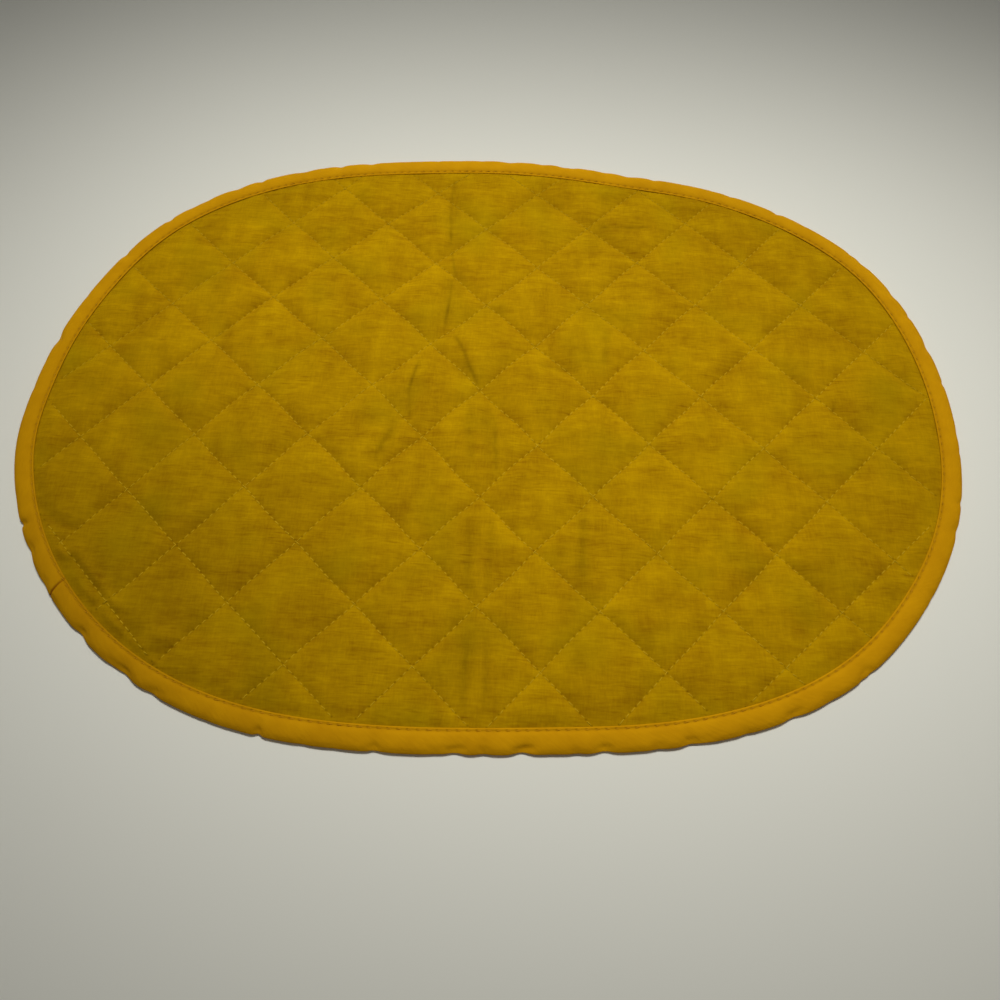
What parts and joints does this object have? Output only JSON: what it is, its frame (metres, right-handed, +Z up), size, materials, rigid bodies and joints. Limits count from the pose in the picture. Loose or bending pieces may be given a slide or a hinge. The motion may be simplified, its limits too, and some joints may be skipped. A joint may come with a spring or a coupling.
{
  "type": "quilted placemat",
  "caption": "Flat oval cloth placemat, quilted in diamonds and edged with a folded binding.",
  "frame": {"origin": "middle of the underside, on the surface that the mat lies on", "axes": "+X along the long axis, +Y across it towards the far edge, +Z up"},
  "size_m": [0.4536, 0.332, 0.0044],
  "materials": {
    "quilted_cloth": "matt slub-woven cotton, mustard gold, streaked lighter and darker along both threads",
    "binding_cloth": "smooth plain-woven cotton, orange gold, with a slight sheen"
  },
  "bodies": {
    "root": {"quilted_panel": "quilted_cloth", "edge_binding": "binding_cloth"}
  },
  "joints": []
}
